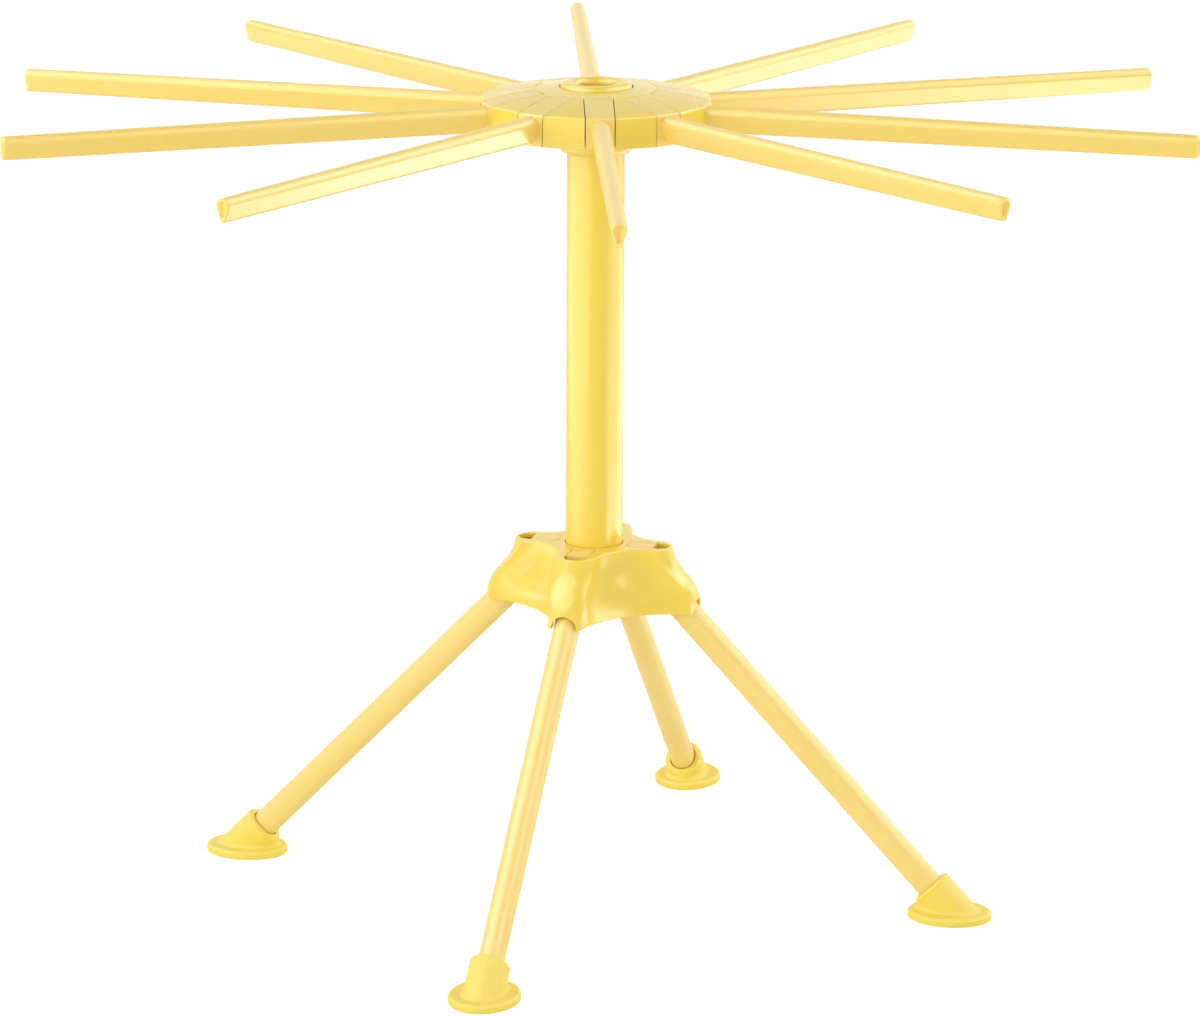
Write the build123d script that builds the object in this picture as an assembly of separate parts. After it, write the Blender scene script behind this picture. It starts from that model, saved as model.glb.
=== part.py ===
from build123d import *
import os
from math import acos, asin, atan2, cos, degrees, radians, sin, sqrt, tan

# Folding pasta drying rack. Ten arms fold down from a hub that turns on the column, and four
# legs fold in under a four-lobed housing. Millimetres, +Z up. The origin is on the column's
# axis, on the floor that the feet stand on. arm_01 and leg_right lie along +X.

# Whole rack
arm_count = 10
leg_names = ("right", "back", "left", "front")
arm_reach = 210.0  # column axis to arm tip
arm_height = 279.0  # floor to the axes and pins of the arms
housing_top = 126.3  # floor to the flat top of the leg housing
foot_circle = 130.4  # column axis to the middle of each sole

# Clearances
turning_clearance = 0.08  # radial, hub on column
hinge_clearance = 0.05  # radial, hinge pin in the piece that turns on it
press_clearance = 0.02  # radial, pin or tube in the piece that holds it
seat_gap = 0.15  # between faces that bear on each other
cover_gap = 0.3  # between a cover and what passes through it
overrun = 30.0  # how far cutting shapes reach past what they cut

# Column, collar and cap ring
column_diameter = 20.0
column_wall = 1.5
collar_wall = 2.5
collar_height = 8.0
collar_round = 1.8
cap_overhang = 2.5  # how far the cap ring's flange reaches past the column
cap_flange = 4.2
cap_lip = 1.1  # how far the cap ring stands above the crown of the hub
cap_round = 2.3
cap_spigot_wall = 1.48
cap_spigot_length = 7.0
cap_ring_gap = 0.4  # circular gap round the cap ring

# Hub and arm blocks
hub_corner_radius = 40.3
hub_rim_margin = 0.45  # rim above the crest of an arm at its root
hub_crown_rise = 4.6  # crown of the dome above the rim
hub_rim_round = 1.0
arm_slot_width = 10.4
arm_side_gap = 0.3
arm_pivot_radius = 26.5  # column axis to arm pin
arm_block_radius = 5.5  # arm pin to the inner end and to the underside of the block
arm_pin_diameter = 2.5
arm_pin_web = 1.21  # left between the end of a pin and the middle of the wedge
hub_boss_wall = 1.3  # how far the boss reaches past the recess of the cap ring
hub_plate_thickness = 2.4
hub_skirt = 3.5  # rim left outside the base plate
hub_screw_count = 5
hub_screw_margin = 4.3  # circle of screws to the edge of the base plate

# Arm rods
arm_root_height = 9.3
arm_root_width = 7.0
arm_tip_height = 8.0
arm_tip_width = 5.4
arm_tip_bevel = 0.7
arm_dish_depth = 0.9
arm_dish_rim = 0.9
arm_corner_share = 0.3  # height of the rounded crest above the widest corners
arm_keel_share = 0.1  # height of the rounded keel
arm_keel_width_share = 0.42

# Leg housing
housing_height = 22.5
housing_wall = 1.2
housing_roof = 1.6
housing_edge_round = 0.5
lobe_brow = 0.7  # roof left between the end of a slot and the end of its lobe
lobe_flare = 10.5  # how much further a lobe reaches at its bottom than at its top
lobe_shoulder = 3.1  # roof on each side of a slot at the end of its lobe
lobe_nose_bottom = 1.8  # how far the end of a lobe bulges past its shoulders
lobe_nose_top = 4.8
cove_margin = 1.42  # circle of screw bosses to the deepest part of a cove at the top
cove_flare = 5.6
# Height of each section, then how far its outline has drawn in and its nose has rounded
housing_section_shares = (
    (0.0, 0.0, 0.0),
    (0.19, 0.03, 0.0),
    (0.33, 0.14, 0.02),
    (0.48, 0.36, 0.06),
    (0.65, 0.68, 0.16),
    (0.83, 0.9, 0.42),
    (1.0, 1.0, 1.0),
)
leg_slot_length = 8.8  # leg pin to the outer end of its slot
arch_centre_rise = 0.2  # above the bottom edge of the housing
housing_boss_diameter = 5.0

# Leg carrier
carrier_plate_thickness = 2.6
carrier_socket_wall = 2.36
carrier_cheek_length = 5.8  # leg pin to the outer end of its cheeks
carrier_cheek_thickness = 2.3
carrier_way_height = 4.8  # room for a leg's rod, above the bottom edge of the housing
leg_pin_diameter = 3.0

# Legs
leg_width = 8.5
leg_depth = 9.6
leg_corner_round = 4.0
leg_pivot_radius = 18.7
leg_pivot_drop = 7.3  # housing top to leg pin
leg_knuckle_width = 7.4
leg_knuckle_length = 3.3  # leg pin to the outer edge of the knuckle's flat top
leg_neck_length = 12.0  # leg pin to where the rod starts to widen
leg_neck_taper = 4.0

# Feet
foot_ledge_ends = 4.7  # flange past the socket at the two ends
foot_ledge_sides = 5.4  # flange past the socket at the sides
foot_side_rise = 1.75  # how much half the width exceeds the radius of the ends
foot_flange = 2.8
foot_flange_round = 1.2
foot_sole_round = 0.4
foot_toe = 3.3  # leg's axis on the floor to the middle of the sole
foot_socket_gap = 0.35
foot_socket_wall = 2.1
foot_socket_length = 15.0  # along the leg, from the floor to the rim
foot_socket_bevel = 0.8
foot_fillet = 1.5  # between the socket and the flange
leg_end_height = 5.5  # floor to the middle of the leg's end in its socket

# Screws
screw_shank_diameter = 2.2
screw_head_diameter = 4.4
screw_head_height = 1.3
screw_length = 7.0
screw_recess_width = 0.6
screw_recess_length = 2.6
screw_recess_depth = 0.7
screw_clearance = 0.2  # radial, screw in the piece that it clamps
screw_sunk = 0.2  # head below the surface round it

# Column, hub and arms: what follows
column_radius = column_diameter / 2
collar_radius = column_radius + collar_wall
cap_radius = column_radius + cap_overhang
cap_spigot_radius = column_radius - column_wall - press_clearance
cap_hole_radius = cap_spigot_radius - cap_spigot_wall
hub_boss_radius = cap_radius + cap_ring_gap + hub_boss_wall
hub_plate_reach = hub_corner_radius - hub_skirt
hub_screw_circle = hub_plate_reach - hub_screw_margin
hub_bottom = arm_height - arm_block_radius
hub_rim_top = arm_height + arm_root_height / 2 + hub_rim_margin
hub_crown_top = hub_rim_top + hub_crown_rise
hub_plate_top = hub_bottom + hub_plate_thickness
dome_radius = (hub_corner_radius**2 + hub_crown_rise**2) / (2 * hub_crown_rise)
slot_half_angle = asin(arm_slot_width / 2 / hub_corner_radius)
arm_face_radius = hub_corner_radius * cos(slot_half_angle)
arm_block_inner = arm_pivot_radius - arm_block_radius
arm_block_width = arm_slot_width - 2 * arm_side_gap
arm_pin_grip = arm_pivot_radius * tan(radians(180 / arm_count)) - arm_slot_width / 2 - arm_pin_web
cap_top = hub_crown_top + cap_lip
cap_seat = cap_top - cap_flange
collar_top = hub_bottom - seat_gap

# Housing, carrier and legs: what follows
housing_bottom = housing_top - housing_height
housing_ceiling = housing_top - housing_roof
carrier_plate_top = housing_bottom + carrier_plate_thickness
socket_radius = column_radius + press_clearance + carrier_socket_wall
leg_slot_inner = socket_radius + press_clearance
leg_slot_outer = leg_pivot_radius + leg_slot_length
leg_slot_width = leg_knuckle_width + 2 * cover_gap
leg_knuckle_inner = leg_slot_inner + seat_gap
leg_knuckle_reach = leg_pivot_radius + leg_knuckle_length
leg_way_half = leg_width / 2 + cover_gap
carrier_cheek_reach = leg_pivot_radius + carrier_cheek_length
housing_boss_circle = socket_radius + housing_boss_diameter / 2 + 2 * seat_gap
lobe_reach_top = leg_slot_outer + lobe_brow
lobe_reach_bottom = lobe_reach_top + lobe_flare
lobe_half_width_top = leg_slot_width / 2 + lobe_shoulder
lobe_half_width_bottom = leg_way_half + housing_wall
lobe_between = 180 / len(leg_names)  # degrees from a leg to the cove beside it
cove_radius_top = housing_boss_circle + cove_margin
cove_radius_bottom = cove_radius_top + cove_flare
leg_pivot_height = housing_top - leg_pivot_drop
leg_floor_radius = foot_circle + foot_toe
leg_splay = degrees(atan2(leg_floor_radius - leg_pivot_radius, leg_pivot_height))
leg_length = sqrt((leg_floor_radius - leg_pivot_radius) ** 2 + leg_pivot_height**2)
leg_end = leg_length - leg_end_height / cos(radians(leg_splay))
foot_socket_grow = foot_socket_gap + foot_socket_wall
foot_length = (leg_depth + 2 * foot_socket_grow) / cos(radians(leg_splay)) + 2 * foot_ledge_ends
foot_width = leg_width + 2 * foot_socket_grow + 2 * foot_ledge_sides
foot_end_radius = foot_width / 2 - foot_side_rise
# Along the leg: X' outwards and square to it, Z' back up the leg
leg_plane = Plane(
    origin=(leg_pivot_radius, 0, leg_pivot_height),
    x_dir=(cos(radians(leg_splay)), 0, sin(radians(leg_splay))),
    z_dir=(-sin(radians(leg_splay)), 0, cos(radians(leg_splay))),
)


def disc(radius, bottom, top):
    """Upright cylinder on the column's axis."""
    return Pos(Z=bottom) * Cylinder(radius, top - bottom, align=(Align.CENTER, Align.CENTER, Align.MIN))


def block(low, high):
    """Box between two opposite corners."""
    size = [b - a for a, b in zip(low, high)]
    middle = [(a + b) / 2 for a, b in zip(low, high)]
    return Pos(*middle) * Box(*size)


def cross_pin(radius, length):
    """Cylinder along Y, centred on the origin."""
    return Rot(X=90) * Cylinder(radius, length)


def spin(shape, count, start=0.0):
    """Copies of a shape, evenly spaced round the column."""
    return [Rot(Z=start + 360 / count * k) * shape for k in range(count)]


def screw():
    """Pan-head screw with a cross recess, point up, its head's top at the origin."""
    head = Pos(Z=screw_head_height / 2) * Cylinder(screw_head_diameter / 2, screw_head_height)
    shank = disc(screw_shank_diameter / 2, screw_head_height, screw_head_height + screw_length)
    bar = Box(screw_recess_length, screw_recess_width, 2 * screw_recess_depth)
    return head + shank - bar - Rot(Z=90) * bar


def screw_hole(depth):
    """Clearance and counterbore for a screw's head, and its way through a plate, from below."""
    head = disc(screw_head_diameter / 2 + screw_clearance, -overrun, screw_sunk + screw_head_height)
    way = disc(screw_shank_diameter / 2 + screw_clearance, 0, depth)
    return head + way


def column_tube():
    """Plain tube from the floor of the carrier's socket to the cap ring."""
    outer = disc(column_radius, carrier_plate_top, cap_seat)
    return outer - disc(column_radius - column_wall, carrier_plate_top, cap_seat)


def column_collar():
    """Ring pressed on the column, which carries the hub."""
    collar = disc(collar_radius, collar_top - collar_height, collar_top)
    lower_edge = collar.edges().group_by(Axis.Z)[0]
    collar = fillet(lower_edge, collar_round)
    return collar - disc(column_radius + press_clearance, collar_top - collar_height, collar_top)


def column_cap_ring():
    """Flanged ring in the top of the column, which keeps the hub down."""
    flange = disc(cap_radius, cap_seat, cap_top)
    flange -= disc(cap_hole_radius, cap_seat, cap_top)
    flange = fillet(flange.edges().group_by(Axis.Z)[-1], cap_round)
    spigot = disc(cap_spigot_radius, cap_seat - cap_spigot_length, cap_seat)
    spigot -= disc(cap_hole_radius, cap_seat - cap_spigot_length, cap_seat)
    return flange + spigot


def dome():
    """Ball whose cap is the shallow dome that the hub and the arm blocks share."""
    return Pos(Z=hub_crown_top - dome_radius) * Sphere(dome_radius)


def rim_edges(shape):
    """Edges where the dome meets the flat faces of the rim."""
    return [e for e in shape.edges() if e.center().Z > arm_height
            and Vector(e.center().X, e.center().Y).length > arm_pivot_radius + arm_block_radius
            and e.bounding_box().size.Z < hub_rim_round]


def pin_notch():
    """Open-bottomed notch for the two ends of one arm pin."""
    half_length = arm_slot_width / 2 + arm_pin_grip + seat_gap
    half_width = arm_pin_diameter / 2 + press_clearance
    round_end = Pos(arm_pivot_radius, 0, arm_height) * cross_pin(half_width, 2 * half_length)
    way = block(
        (arm_pivot_radius - half_width, -half_length, hub_bottom),
        (arm_pivot_radius + half_width, half_length, arm_height),
    )
    return round_end + way


def arm_slot():
    """Cutting shape of one radial slot, open at the top, the bottom and the rim."""
    return block(
        (arm_block_inner - arm_side_gap, -arm_slot_width / 2, hub_bottom - overrun),
        (hub_corner_radius + overrun, arm_slot_width / 2, hub_crown_top + overrun),
    )


def hub_body():
    """Domed twenty-sided hub, cut into ten wedges that stand out from a central boss."""
    corners = []
    for k in range(arm_count):
        for side in (-1, 1):
            angle = radians(360 / arm_count * k) + side * slot_half_angle
            corners.append((hub_corner_radius * cos(angle), hub_corner_radius * sin(angle)))
    prism = extrude(Polygon(*corners, align=None), amount=hub_crown_top - hub_bottom + overrun)
    body = Pos(Z=hub_bottom) * prism & dome()
    body = fillet(rim_edges(body), hub_rim_round)
    body -= spin(arm_slot(), arm_count)
    body -= disc(column_radius + turning_clearance, hub_bottom, hub_crown_top)
    body -= disc(cap_radius + cap_ring_gap, cap_seat - seat_gap, hub_crown_top)
    plate_way = disc(hub_plate_reach, hub_bottom - overrun, hub_plate_top)
    body -= plate_way - disc(hub_boss_radius, hub_bottom - overrun, hub_plate_top)
    body -= spin(pin_notch(), arm_count)
    pilot_radius = screw_shank_diameter / 2 + press_clearance
    pilot_top = hub_bottom + screw_sunk + screw_head_height + screw_length + seat_gap
    pilot = Pos(X=hub_screw_circle) * disc(pilot_radius, hub_plate_top, pilot_top)
    body -= spin(pilot, hub_screw_count, 180 / arm_count)
    return body


def hub_base_plate():
    """Star under the hub whose tabs close the notches below the arm pins."""
    plate = disc(hub_plate_reach - seat_gap, hub_bottom, hub_plate_top)
    plate -= disc(hub_boss_radius + seat_gap, hub_bottom, hub_plate_top)
    plate -= spin(arm_slot(), arm_count)
    half_width = arm_pin_diameter / 2 - press_clearance
    tab_top = arm_height - arm_pin_diameter / 2 - press_clearance
    for side in (-1, 1):
        near = side * arm_slot_width / 2
        far = side * (arm_slot_width / 2 + arm_pin_grip)
        tab = block(
            (arm_pivot_radius - half_width, min(near, far), hub_bottom),
            (arm_pivot_radius + half_width, max(near, far), tab_top),
        )
        plate += spin(tab, arm_count)
    hole = Pos(hub_screw_circle, 0, hub_bottom) * screw_hole(hub_plate_thickness)
    return plate - spin(hole, hub_screw_count, 180 / arm_count)


def hub_screws():
    """The five screws that hold the base plate."""
    placed = Pos(hub_screw_circle, 0, hub_bottom + screw_sunk) * screw()
    return Compound(children=spin(placed, hub_screw_count, 180 / arm_count))


def arm_outline(x, height, width):
    """Drop-shaped section of an arm: round crest, widest at its shoulders, narrow round keel."""
    half = width / 2
    keel_half = half * arm_keel_width_share
    crest = arm_height + height / 2
    shoulder = crest - arm_corner_share * height
    keel = arm_height - height / 2
    keel_side = keel + arm_keel_share * height
    edges = [
        ThreePointArc((x, -half, shoulder), (x, 0, crest), (x, half, shoulder)),
        Line((x, half, shoulder), (x, keel_half, keel_side)),
        ThreePointArc((x, keel_half, keel_side), (x, 0, keel), (x, -keel_half, keel_side)),
        Line((x, -keel_half, keel_side), (x, -half, shoulder)),
    ]
    return Face(Wire(edges))


def arm():
    """One arm: the block that fills a slot of the hub, and its tapering rod with a dished tip."""
    pivot = Vector(arm_pivot_radius, arm_height)
    outline = [
        Line((arm_face_radius, hub_bottom), (arm_face_radius, hub_crown_top + overrun)),
        Line((arm_face_radius, hub_crown_top + overrun), (arm_block_inner, hub_crown_top + overrun)),
        Line((arm_block_inner, hub_crown_top + overrun), (arm_block_inner, pivot.Y)),
        RadiusArc((arm_block_inner, pivot.Y), (pivot.X, hub_bottom), arm_block_radius),
        Line((pivot.X, hub_bottom), (arm_face_radius, hub_bottom)),
    ]
    side = Plane.XZ * Face(Wire(outline))
    body = extrude(side, amount=arm_block_width / 2, both=True) & dome()
    body = fillet(rim_edges(body), hub_rim_round)
    root = arm_outline(arm_face_radius - hub_rim_round, arm_root_height, arm_root_width)
    tip = arm_outline(arm_reach - arm_tip_bevel, arm_tip_height, arm_tip_width)
    end = arm_outline(arm_reach, arm_tip_height - arm_tip_bevel, arm_tip_width - arm_tip_bevel)
    rod = loft([root, tip], ruled=True) + loft([tip, end], ruled=True)
    dish_mouth = arm_outline(arm_reach, arm_tip_height - 2 * arm_dish_rim, arm_tip_width - 2 * arm_dish_rim)
    dish_floor = arm_outline(arm_reach - arm_dish_depth, arm_tip_height / 2, arm_dish_rim / 2)
    rod -= loft([dish_floor, dish_mouth], ruled=True)
    bore = Pos(arm_pivot_radius, 0, arm_height) * cross_pin(
        arm_pin_diameter / 2 + hinge_clearance, arm_slot_width)
    return body + rod - bore


def arm_pin():
    """Plain pin across one slot of the hub."""
    return Pos(arm_pivot_radius, 0, arm_height) * cross_pin(
        arm_pin_diameter / 2, arm_slot_width + 2 * arm_pin_grip)


def between(bottom, top, share):
    """Value at a share of the way from a bottom size to a top size."""
    return bottom + (top - bottom) * share


def housing_outline(height_share, draw_share, nose_share, inset):
    """Closed outline of the housing at one height: a nose arc at each lobe, a cove arc between lobes."""
    z = between(housing_bottom, housing_top, height_share)
    reach = between(lobe_reach_bottom, lobe_reach_top, draw_share) - inset
    half = between(lobe_half_width_bottom, lobe_half_width_top, height_share) - inset
    shoulder = reach - between(lobe_nose_bottom, lobe_nose_top, nose_share)
    cove_radius = between(cove_radius_bottom, cove_radius_top, draw_share) - inset
    diagonal = cove_radius / sqrt(2)
    nose = ThreePointArc((shoulder, -half, z), (reach, 0, z), (shoulder, half, z))
    cove = ThreePointArc((shoulder, half, z), (diagonal, diagonal, z), (half, shoulder, z))
    edges = []
    for k in range(len(leg_names)):
        edges += [Rot(Z=360 / len(leg_names) * k) * nose, Rot(Z=360 / len(leg_names) * k) * cove]
    return Face(Wire(edges))


def housing_form(inset):
    """Solid form of the housing, drawn in all round by an inset."""
    return loft([housing_outline(*shares, inset) for shares in housing_section_shares])


def leg_slot():
    """Cutting shape of the slot in the roof over one leg's knuckle: square inside, round outside."""
    end_centre = leg_slot_outer - leg_slot_width / 2
    straight = block(
        (leg_slot_inner, -leg_slot_width / 2, housing_ceiling - overrun),
        (end_centre, leg_slot_width / 2, housing_top + overrun),
    )
    end = Pos(X=end_centre) * disc(leg_slot_width / 2, housing_ceiling - overrun, housing_top + overrun)
    return straight + end


def leg_arch():
    """Cutting shape of the arch in the end of one lobe, over the leg's rod."""
    height = housing_bottom + arch_centre_rise
    barrel = Pos(leg_slot_outer, 0, height) * Rot(Y=90) * Cylinder(
        leg_way_half, overrun, align=(Align.CENTER, Align.CENTER, Align.MIN))
    way = block(
        (leg_slot_outer, -leg_way_half, housing_bottom - overrun),
        (leg_slot_outer + overrun, leg_way_half, height),
    )
    return barrel + way


def housing_shell():
    """Four-lobed cover with concave coves, a slot and an arch for each leg and four screw bosses."""
    outer = housing_form(0)
    top_edges = [e for e in outer.edges() if e.bounding_box().min.Z > housing_ceiling]
    outer = fillet(top_edges, housing_edge_round)
    room = lobe_reach_bottom + overrun
    cavity = housing_form(housing_wall) & disc(room, housing_bottom - overrun, housing_ceiling)
    shell = outer - cavity
    boss = Pos(X=housing_boss_circle) * disc(
        housing_boss_diameter / 2, carrier_plate_top + seat_gap, housing_ceiling + housing_roof / 2)
    shell += [outer & b for b in spin(boss, len(leg_names), lobe_between)]
    pilot_top = housing_bottom + screw_sunk + screw_head_height + screw_length + seat_gap
    pilot = Pos(X=housing_boss_circle) * disc(
        screw_shank_diameter / 2 + press_clearance, carrier_plate_top, pilot_top)
    shell -= spin(pilot, len(leg_names), lobe_between)
    shell -= disc(column_radius + cover_gap, housing_bottom, housing_top)
    slot_cut = leg_slot() & disc(room, housing_ceiling - housing_roof / 2, housing_top + overrun)
    shell -= spin(slot_cut, len(leg_names))
    shell -= spin(leg_arch(), len(leg_names))
    return shell


def leg_carrier():
    """Inner moulding: the column's socket, a pair of cheeks for each leg and the screwed base."""
    cheek_inner = leg_slot_width / 2
    cheek_outer = cheek_inner + carrier_cheek_thickness
    cheeks = block(
        (column_radius, -cheek_outer, housing_bottom),
        (carrier_cheek_reach, cheek_outer, housing_ceiling - seat_gap),
    )
    body = disc(lobe_reach_bottom, housing_bottom, carrier_plate_top)
    body += spin(cheeks, len(leg_names))
    knuckle_way = block(
        (column_radius, -cheek_inner, housing_bottom - overrun),
        (lobe_reach_bottom + overrun, cheek_inner, housing_top + overrun),
    )
    rod_way = block(
        (column_radius, -leg_way_half, housing_bottom - overrun),
        (lobe_reach_bottom + overrun, leg_way_half, housing_bottom + carrier_way_height),
    )
    body -= spin(knuckle_way + rod_way, len(leg_names))
    body &= disc(carrier_cheek_reach, housing_bottom, housing_top)
    body += disc(socket_radius, housing_bottom, housing_ceiling - seat_gap)
    body -= disc(column_radius + press_clearance, carrier_plate_top, housing_top)
    body &= housing_form(housing_wall + seat_gap)
    boss_way = Pos(X=housing_boss_circle) * disc(
        housing_boss_diameter / 2 + seat_gap, carrier_plate_top, housing_top)
    body -= spin(boss_way, len(leg_names), lobe_between)
    pin_hole = Pos(leg_pivot_radius, 0, leg_pivot_height) * cross_pin(
        leg_pin_diameter / 2 + press_clearance, 2 * cheek_outer)
    body -= spin(pin_hole, len(leg_names))
    hole = Pos(housing_boss_circle, 0, housing_bottom) * screw_hole(carrier_plate_thickness)
    return body - spin(hole, len(leg_names), lobe_between)


def housing_screws():
    """The four screws that hold the carrier in the housing."""
    placed = Pos(housing_boss_circle, 0, housing_bottom + screw_sunk) * screw()
    return Compound(children=spin(placed, len(leg_names), lobe_between))


def leg_pin():
    """Plain pin across one pair of cheeks."""
    length = leg_slot_width + 2 * carrier_cheek_thickness - 2 * seat_gap
    return Pos(leg_pivot_radius, 0, leg_pivot_height) * cross_pin(leg_pin_diameter / 2, length)


def leg_point(along, outward):
    """Place in the XZ plane, measured along the leg from its pin and square to it."""
    angle = radians(leg_splay)
    return (
        leg_pivot_radius + along * sin(angle) + outward * cos(angle),
        leg_pivot_height - along * cos(angle) + outward * sin(angle),
    )


def leg():
    """One leg: a knuckle whose flat top fills its slot, a neck that widens, and a rounded rod."""
    half_depth = leg_depth / 2
    reach = leg_neck_length + leg_neck_taper
    # The underside of the neck is tangent to the round back of the knuckle
    back_radius = leg_pivot_radius - leg_knuckle_inner
    neck_distance = sqrt(leg_neck_length**2 + half_depth**2)
    lean = atan2(half_depth, leg_neck_length) + acos(back_radius / neck_distance)
    tangent_point = leg_point(back_radius * cos(lean), -back_radius * sin(lean))
    corner = (leg_knuckle_reach, housing_top)
    outline = [
        Line((leg_knuckle_inner, leg_pivot_height), (leg_knuckle_inner, housing_top)),
        Line((leg_knuckle_inner, housing_top), corner),
        Line(corner, leg_point(0, half_depth)),
        Line(leg_point(0, half_depth), leg_point(reach, half_depth)),
        Line(leg_point(reach, half_depth), leg_point(reach, -half_depth)),
        Line(leg_point(reach, -half_depth), leg_point(leg_neck_length, -half_depth)),
        Line(leg_point(leg_neck_length, -half_depth), tangent_point),
        RadiusArc(tangent_point, (leg_knuckle_inner, leg_pivot_height), back_radius),
    ]
    side = Plane.XZ * Face(Wire(outline))
    knuckle = extrude(side, amount=leg_width / 2, both=True)
    plan = Polygon(
        (overrun, -leg_knuckle_width / 2),
        (overrun, leg_knuckle_width / 2),
        (-leg_neck_length, leg_knuckle_width / 2),
        (-reach, leg_width / 2),
        (-reach, -leg_width / 2),
        (-leg_neck_length, -leg_knuckle_width / 2),
        align=None,
    )
    plan_plane = Plane(origin=leg_plane.origin, x_dir=leg_plane.z_dir, z_dir=leg_plane.x_dir)
    knuckle &= extrude(plan_plane * plan, amount=overrun, both=True)
    rod_face = leg_plane.offset(-leg_end) * RectangleRounded(leg_depth, leg_width, leg_corner_round)
    rod = extrude(rod_face, amount=leg_end - reach)
    bore = Pos(leg_pivot_radius, 0, leg_pivot_height) * cross_pin(
        leg_pin_diameter / 2 + hinge_clearance, leg_width)
    return knuckle + rod - bore


def foot_outline():
    """Oval of four tangent arcs: two at the ends and two wider ones along the sides."""
    reach = foot_length / 2
    half = foot_width / 2
    offset = reach - foot_end_radius
    side_radius = (offset**2 + half**2 - foot_end_radius**2) / (2 * (half - foot_end_radius))
    lean = atan2(side_radius - half, offset)
    x = offset + foot_end_radius * cos(lean)
    y = foot_end_radius * sin(lean)
    return Face(Wire([
        ThreePointArc((x, -y), (reach, 0), (x, y)),
        ThreePointArc((x, y), (0, half), (-x, y)),
        ThreePointArc((-x, y), (-reach, 0), (-x, -y)),
        ThreePointArc((-x, -y), (0, -half), (x, -y)),
    ]))


def foot():
    """Oval sole with a slanted socket round the end of the leg, blended into each other."""
    sole = extrude(foot_outline(), amount=foot_flange)
    sole = fillet(sole.edges().group_by(Axis.Z)[-1], foot_flange_round)
    sole = Pos(X=foot_circle) * fillet(sole.edges().group_by(Axis.Z)[0], foot_sole_round)
    outer_face = leg_plane.offset(-leg_length - foot_length) * RectangleRounded(
        leg_depth + 2 * foot_socket_grow, leg_width + 2 * foot_socket_grow,
        leg_corner_round + foot_socket_grow)
    boss = extrude(outer_face, amount=foot_length + foot_socket_length)
    boss = chamfer(boss.faces().sort_by(Axis.Z)[-1].edges(), foot_socket_bevel)
    boss -= disc(leg_floor_radius + foot_length + overrun, -foot_length - overrun, foot_flange / 2)
    body = sole + boss
    body = fillet(new_edges(sole, boss, combined=body), foot_fillet)
    socket_face = leg_plane.offset(-leg_end) * RectangleRounded(
        leg_depth + 2 * foot_socket_gap, leg_width + 2 * foot_socket_gap,
        leg_corner_round + foot_socket_gap)
    return body - extrude(socket_face, amount=foot_length)


def build():
    """Every node of the rack by name, each in its place."""
    nodes = {
        "column_tube": column_tube(),
        "column_collar": column_collar(),
        "column_cap_ring": column_cap_ring(),
        "hub_body": hub_body(),
        "hub_base_plate": hub_base_plate(),
        "hub_screws": hub_screws(),
        "housing_shell": housing_shell(),
        "leg_carrier": leg_carrier(),
        "housing_screws": housing_screws(),
    }
    for k, (piece, pin) in enumerate(zip(spin(arm(), arm_count), spin(arm_pin(), arm_count)), 1):
        nodes[f"arm_{k:02d}"] = piece
        nodes[f"arm_pin_{k:02d}"] = pin
    for make, prefix in ((leg, "leg"), (leg_pin, "leg_pin"), (foot, "foot")):
        for name, piece in zip(leg_names, spin(make(), len(leg_names))):
            nodes[f"{prefix}_{name}"] = piece
    return nodes


os.makedirs("parts", exist_ok=True)
for node_name, shape in build().items():
    export_step(shape, f"parts/{node_name}.step")
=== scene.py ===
from math import atan2, pi, radians

import bpy
from mathutils import Matrix, Vector

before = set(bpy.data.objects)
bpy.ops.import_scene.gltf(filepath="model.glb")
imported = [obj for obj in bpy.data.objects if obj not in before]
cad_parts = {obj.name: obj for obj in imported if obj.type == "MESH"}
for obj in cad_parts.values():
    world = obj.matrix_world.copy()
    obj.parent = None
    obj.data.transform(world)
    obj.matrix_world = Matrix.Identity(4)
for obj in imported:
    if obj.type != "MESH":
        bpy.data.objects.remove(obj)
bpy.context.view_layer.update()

# Camera: place in metres, turn from +Y, tilt and roll in degrees, lens and sensor in millimetres,
# nearest and farthest distance in metres
camera_place = (0.5212, -1.8177, 0.6266)
camera_turn = 15.937
camera_tilt = -14.482
camera_roll = 0.311
camera_lens = 166.945
sensor_width = 36.0
clip_near = 0.05
clip_far = 60.0

# Soft lamps round the rack: turn from the camera's side and rise above the rack in degrees, width
# and height in metres, power in watts. A card shows only in reflections.
lamp_target = (0.0, 0.0, 0.17)
lamp_distance = 2.1
lamps = {
    "key": {"turn": -60.0, "rise": 20.0, "size": (1.4, 1.2), "power": 9.5, "card": False},
    "rim": {"turn": 125.0, "rise": 20.0, "size": (1.2, 1.2), "power": 10.0, "card": False},
    "front_left_card": {"turn": -58.0, "rise": 50.0, "size": (2.2, 1.6), "power": 46.0, "card": True},
    "back_left_card": {"turn": -113.0, "rise": 50.0, "size": (2.2, 1.6), "power": 34.0, "card": True},
    "right_card": {"turn": 90.0, "rise": 50.0, "size": (2.9, 1.6), "power": 60.0, "card": True},
}
# Bright areas of the table beside the rack, seen only in reflections: turn as above, distance
# from the rack, length away from it and width in metres, power in watts
table_cards = {
    "left_table": {"turn": -73.0, "far": 1.15, "size": (1.3, 1.9), "power": 24.0},
    "right_table": {"turn": 98.0, "far": 1.1, "size": (1.3, 1.3), "power": 13.0},
    "right_table_near": {"turn": 92.0, "far": 0.39, "size": (0.2, 0.6), "power": 2.6},
}
table_lift = 0.002

# Strength of the surroundings at the horizon, overhead and as the camera sees them
horizon_strength = 1.32
zenith_strength = 0.44
backdrop_strength = 1.0

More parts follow.
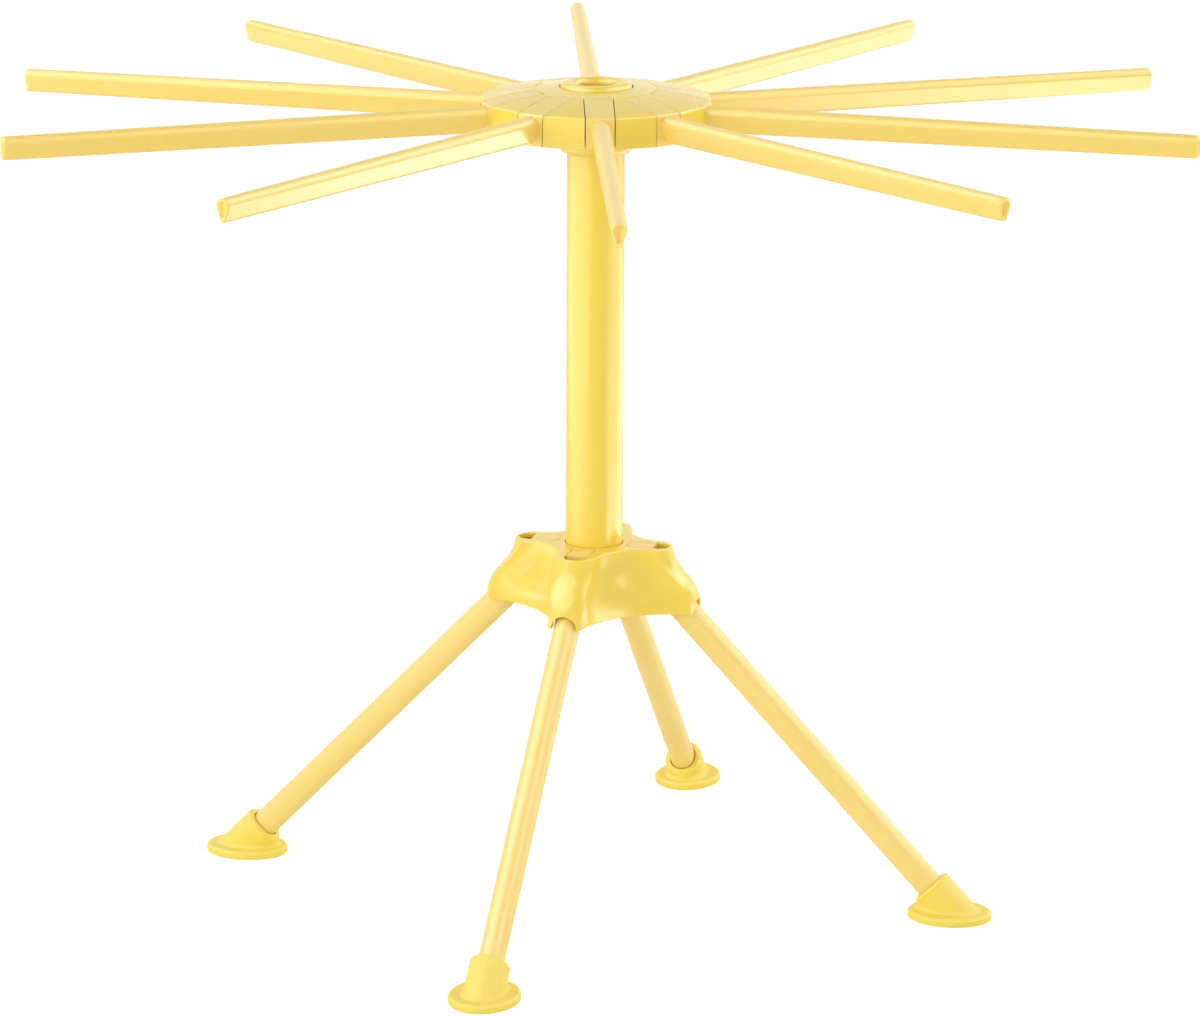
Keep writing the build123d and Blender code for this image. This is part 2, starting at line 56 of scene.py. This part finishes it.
# Floor: size in metres, colour, and what the camera sees of it: its own glow and a share of the
# light on it, which keeps the shadow
floor_size = 14.0
floor_colour = (0.94, 0.94, 0.93)
floor_glow = 0.86
floor_shadow_share = 0.22

# Colours: main tone of each material and the paler tone that drifts over it
yellow = (0.95, 0.69, 0.085)
yellow_pale = (0.955, 0.71, 0.1)
arm_colour = (0.955, 0.7, 0.16)
arm_pale = (0.965, 0.725, 0.19)
leg_colour = (0.95, 0.705, 0.19)
leg_pale = (0.96, 0.725, 0.22)
foot_colour = (0.95, 0.73, 0.1)
foot_pale = (0.955, 0.745, 0.12)
carrier_colour = (0.97, 0.8, 0.22)
carrier_pale = (0.97, 0.82, 0.26)
steel_colour = (0.62, 0.61, 0.59)
steel_pale = (0.72, 0.71, 0.69)

# Scales of pattern, in cycles per metre
drift_scale = 16.0
mottle_scale = 420.0
smudge_scale = 70.0
peel_scale = 1500.0

# Range of a noise that is spread over the full range of a value
noise_low = 0.3
noise_high = 0.7

# Shares of mottle and of the painted highlight along edges, and how much they darken and lighten the tone
mottle_share = 0.22
mottle_tone = 0.93
edge_highlight_share = 0.16
edge_highlight_tone = 1.08

# Edges: radius in metres, samples, and the agreement of the rounded and the true normal at the full painted
# edge highlight and at none
edge_radius = 0.0003
edge_samples = 4
edge_full = 0.8
edge_none = 0.995

# Relief: depth of the orange peel in metres, and its strength on plastic and on steel
peel_depth = 0.00001
plastic_relief = 0.35
steel_relief = 0.3

# Plastic as a whole: index of refraction, and how far each colour scatters under the surface, as
# shares of a distance in metres
plastic_index = 1.49
scatter_radius = (1.0, 0.85, 0.5)
scatter_distance = 0.002

# Each plastic: main and paler tone, lowest and highest roughness, weight of the scattering, depth
# of the peel, and the starts of the names of its pieces
plastics = {
    "rack_plastic": {
        "tones": (yellow, yellow_pale), "rough": (0.2, 0.25), "scatter": 0.25, "peel": peel_depth,
        "pieces": ("column_", "hub_body", "hub_base", "housing_shell"),
    },
    "arm_plastic": {
        "tones": (arm_colour, arm_pale), "rough": (0.3, 0.36), "scatter": 0.25, "peel": peel_depth,
        "pieces": ("arm_0", "arm_1"),
    },
    "leg_plastic": {
        "tones": (leg_colour, leg_pale), "rough": (0.36, 0.42), "scatter": 0.25, "peel": peel_depth,
        "pieces": ("leg_right", "leg_back", "leg_left", "leg_front"),
    },
    "carrier_plastic": {
        "tones": (carrier_colour, carrier_pale), "rough": (0.36, 0.42), "scatter": 0.25, "peel": peel_depth,
        "pieces": ("leg_carrier",),
    },
    "foot_plastic": {
        "tones": (foot_colour, foot_pale), "rough": (0.56, 0.64), "scatter": 0.3, "peel": 2 * peel_depth,
        "pieces": ("foot_",),
    },
}
steel_rough = (0.26, 0.42)
steel_pieces = ("arm_pin", "leg_pin", "hub_screws", "housing_screws")


def new_material(name):
    """New material with an empty node tree, and that tree."""
    material = bpy.data.materials.new(name)
    material.use_nodes = True
    tree = material.node_tree
    tree.nodes.clear()
    return material, tree


def add_node(tree, kind, **values):
    """Node of a kind, with its properties and its named inputs set."""
    node = tree.nodes.new(kind)
    for key, value in values.items():
        if hasattr(node, key):
            setattr(node, key, value)
        else:
            node.inputs[key].default_value = value
    return node


def noise(tree, place, scale, detail=3.0):
    """Noise at so many cycles per metre."""
    node = add_node(tree, "ShaderNodeTexNoise", Scale=scale, Detail=detail)
    tree.links.new(place, node.inputs["Vector"])
    return node.outputs["Fac"]


def spread(tree, value, low, high, start=noise_low, end=noise_high):
    """Value brought from one range to another."""
    node = tree.nodes.new("ShaderNodeMapRange")
    for name, number in (("From Min", start), ("From Max", end), ("To Min", low), ("To Max", high)):
        node.inputs[name].default_value = number
    tree.links.new(value, node.inputs["Value"])
    return node.outputs["Result"]


def mixed(tree, factor, first, second):
    """Colour between two colours, which are sockets or plain values."""
    node = tree.nodes.new("ShaderNodeMix")
    node.data_type = "RGBA"
    tree.links.new(factor, node.inputs["Factor"])
    for socket, value in ((node.inputs["A"], first), (node.inputs["B"], second)):
        if isinstance(value, bpy.types.NodeSocket):
            tree.links.new(value, socket)
        else:
            socket.default_value = (*value, 1.0)
    return node.outputs["Result"]


def edge_mask(tree):
    """Mask that is high along edges, where the rounded normal leaves the true one, and that normal."""
    bevel = add_node(tree, "ShaderNodeBevel", samples=edge_samples, Radius=edge_radius)
    geometry = tree.nodes.new("ShaderNodeNewGeometry")
    dot = tree.nodes.new("ShaderNodeVectorMath")
    dot.operation = "DOT_PRODUCT"
    tree.links.new(bevel.outputs["Normal"], dot.inputs[0])
    tree.links.new(geometry.outputs["Normal"], dot.inputs[1])
    on_edge = spread(tree, dot.outputs["Value"], 1.0, 0.0, start=edge_full, end=edge_none)
    return on_edge, bevel.outputs["Normal"]


def plastic(name, tones, rough, scatter, peel):
    """Moulded plastic: drifting tone, fine mottle, smudged gloss, orange peel and edges painted paler as a
    highlight.
    """
    main, pale = tones
    material, tree = new_material(name)
    place = tree.nodes.new("ShaderNodeTexCoord").outputs["Object"]
    on_edge, rounded = edge_mask(tree)
    drift = spread(tree, noise(tree, place, drift_scale), 0.0, 1.0)
    mottle = spread(tree, noise(tree, place, mottle_scale, detail=5.0), 0.0, mottle_share)
    tone = mixed(tree, drift, main, pale)
    tone = mixed(tree, mottle, tone, [channel * mottle_tone for channel in main])
    # Painted highlight: every edge is made paler in the colour itself
    highlight_mix = spread(tree, on_edge, 0.0, edge_highlight_share, start=0.0, end=1.0)
    tone = mixed(tree, highlight_mix, tone, [min(1.0, channel * edge_highlight_tone) for channel in pale])
    gloss = spread(tree, noise(tree, place, smudge_scale, detail=4.0), *rough)
    bump = add_node(tree, "ShaderNodeBump", Strength=plastic_relief, Distance=peel)
    tree.links.new(noise(tree, place, peel_scale, detail=2.0), bump.inputs["Height"])
    tree.links.new(rounded, bump.inputs["Normal"])
    shader = tree.nodes.new("ShaderNodeBsdfPrincipled")
    shader.inputs["IOR"].default_value = plastic_index
    shader.inputs["Subsurface Weight"].default_value = scatter
    shader.inputs["Subsurface Radius"].default_value = scatter_radius
    shader.inputs["Subsurface Scale"].default_value = scatter_distance
    tree.links.new(tone, shader.inputs["Base Color"])
    tree.links.new(gloss, shader.inputs["Roughness"])
    tree.links.new(bump.outputs["Normal"], shader.inputs["Normal"])
    output = tree.nodes.new("ShaderNodeOutputMaterial")
    tree.links.new(shader.outputs["BSDF"], output.inputs["Surface"])
    return material


def zinc_steel():
    """Zinc-plated steel of the pins and screws, with dull patches and a fine grain."""
    material, tree = new_material("zinc_plated_steel")
    place = tree.nodes.new("ShaderNodeTexCoord").outputs["Object"]
    patches = spread(tree, noise(tree, place, mottle_scale), 0.0, 1.0)
    tone = mixed(tree, patches, steel_colour, steel_pale)
    gloss = spread(tree, noise(tree, place, peel_scale, detail=4.0), *steel_rough)
    bump = add_node(tree, "ShaderNodeBump", Strength=steel_relief, Distance=peel_depth)
    tree.links.new(noise(tree, place, 2 * peel_scale, detail=3.0), bump.inputs["Height"])
    shader = tree.nodes.new("ShaderNodeBsdfPrincipled")
    shader.inputs["Metallic"].default_value = 1.0
    tree.links.new(tone, shader.inputs["Base Color"])
    tree.links.new(gloss, shader.inputs["Roughness"])
    tree.links.new(bump.outputs["Normal"], shader.inputs["Normal"])
    output = tree.nodes.new("ShaderNodeOutputMaterial")
    tree.links.new(shader.outputs["BSDF"], output.inputs["Surface"])
    return material


def dress(material, prefixes):
    """Gives a material to every node whose name starts with one of the prefixes."""
    for name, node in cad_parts.items():
        if name.startswith(prefixes):
            for slot in node.material_slots:
                slot.material = material


def white_floor():
    """Pale floor that shows white to the camera and keeps a faint shadow."""
    mesh = bpy.data.meshes.new("floor")
    half = floor_size / 2
    corners = [(-half, -half, 0), (half, -half, 0), (half, half, 0), (-half, half, 0)]
    mesh.from_pydata(corners, [], [(0, 1, 2, 3)])
    floor = bpy.data.objects.new("floor", mesh)
    bpy.context.scene.collection.objects.link(floor)
    material, tree = new_material("white_floor")
    diffuse = add_node(tree, "ShaderNodeBsdfDiffuse", Color=(*floor_colour, 1.0))
    glow = add_node(tree, "ShaderNodeEmission", Strength=floor_glow)
    seen_colour = [channel * floor_shadow_share for channel in floor_colour]
    dimmed = add_node(tree, "ShaderNodeBsdfDiffuse", Color=(*seen_colour, 1.0))
    both = tree.nodes.new("ShaderNodeAddShader")
    tree.links.new(dimmed.outputs["BSDF"], both.inputs[0])
    tree.links.new(glow.outputs["Emission"], both.inputs[1])
    path = tree.nodes.new("ShaderNodeLightPath")
    choose = tree.nodes.new("ShaderNodeMixShader")
    tree.links.new(path.outputs["Is Camera Ray"], choose.inputs["Fac"])
    tree.links.new(diffuse.outputs["BSDF"], choose.inputs[1])
    tree.links.new(both.outputs["Shader"], choose.inputs[2])
    output = tree.nodes.new("ShaderNodeOutputMaterial")
    tree.links.new(choose.outputs["Shader"], output.inputs["Surface"])
    mesh.materials.append(material)


def sky():
    """White surroundings, dimmer overhead: plain white to the camera."""
    world = bpy.data.worlds.new("studio")
    world.use_nodes = True
    tree = world.node_tree
    tree.nodes.clear()
    parts = tree.nodes.new("ShaderNodeSeparateXYZ")
    tree.links.new(tree.nodes.new("ShaderNodeTexCoord").outputs["Generated"], parts.inputs["Vector"])
    soft = spread(tree, parts.outputs["Z"], horizon_strength, zenith_strength, start=0.0, end=1.0)
    path = tree.nodes.new("ShaderNodeLightPath")
    strength = tree.nodes.new("ShaderNodeMix")
    tree.links.new(path.outputs["Is Camera Ray"], strength.inputs["Factor"])
    tree.links.new(soft, strength.inputs["A"])
    strength.inputs["B"].default_value = backdrop_strength
    light = tree.nodes.new("ShaderNodeBackground")
    tree.links.new(strength.outputs["Result"], light.inputs["Strength"])
    light.inputs["Color"].default_value = (1.0, 1.0, 1.0, 1.0)
    output = tree.nodes.new("ShaderNodeOutputWorld")
    tree.links.new(light.outputs["Background"], output.inputs["Surface"])
    bpy.context.scene.world = world


def soft_lamp(name, size, power, place, card):
    """Large soft lamp that shines along -Z of its place. A card adds reflections and no light."""
    data = bpy.data.lights.new(name, "AREA")
    data.shape = "RECTANGLE"
    data.size, data.size_y = size
    data.energy = power
    lamp = bpy.data.objects.new(name, data)
    bpy.context.scene.collection.objects.link(lamp)
    lamp.matrix_world = place
    lamp.visible_camera = False
    lamp.visible_diffuse = not card


def soft_lamps():
    """Lamps and cards that face the middle of the rack, and bright areas of the table beside it."""
    front = atan2(camera_place[1], camera_place[0])
    facing = Vector((1.0, 0.0, 0.0)).to_track_quat("Z", "Y").to_matrix().to_4x4()
    away = Matrix.Translation((lamp_distance, 0.0, 0.0)) @ facing
    for name, setting in lamps.items():
        turned = Matrix.Rotation(front + radians(setting["turn"]), 4, "Z")
        raised = turned @ Matrix.Rotation(-radians(setting["rise"]), 4, "Y")
        place = Matrix.Translation(lamp_target) @ raised @ away
        soft_lamp(name, setting["size"], setting["power"], place, setting["card"])
    for name, setting in table_cards.items():
        turned = Matrix.Rotation(front + radians(setting["turn"]), 4, "Z")
        place = turned @ Matrix.Translation((setting["far"], 0.0, table_lift)) @ Matrix.Rotation(pi, 4, "X")
        soft_lamp(name, setting["size"], setting["power"], place, True)


def camera():
    """Camera at the photograph's angle."""
    data = bpy.data.cameras.new("camera")
    data.sensor_width = sensor_width
    data.lens = camera_lens
    data.clip_start = clip_near
    data.clip_end = clip_far
    view = bpy.data.objects.new("camera", data)
    bpy.context.scene.collection.objects.link(view)
    turned = Matrix.Rotation(radians(camera_turn), 4, "Z")
    tilted = Matrix.Rotation(radians(90 + camera_tilt), 4, "X")
    rolled = Matrix.Rotation(radians(camera_roll), 4, "Z")
    view.matrix_world = Matrix.Translation(camera_place) @ turned @ tilted @ rolled
    bpy.context.scene.camera = view


bpy.context.scene.view_settings.view_transform = "Standard"
camera()
sky()
soft_lamps()
white_floor()

for name, kind in plastics.items():
    dress(plastic(name, kind["tones"], kind["rough"], kind["scatter"], kind["peel"]), kind["pieces"])
dress(zinc_steel(), steel_pieces)
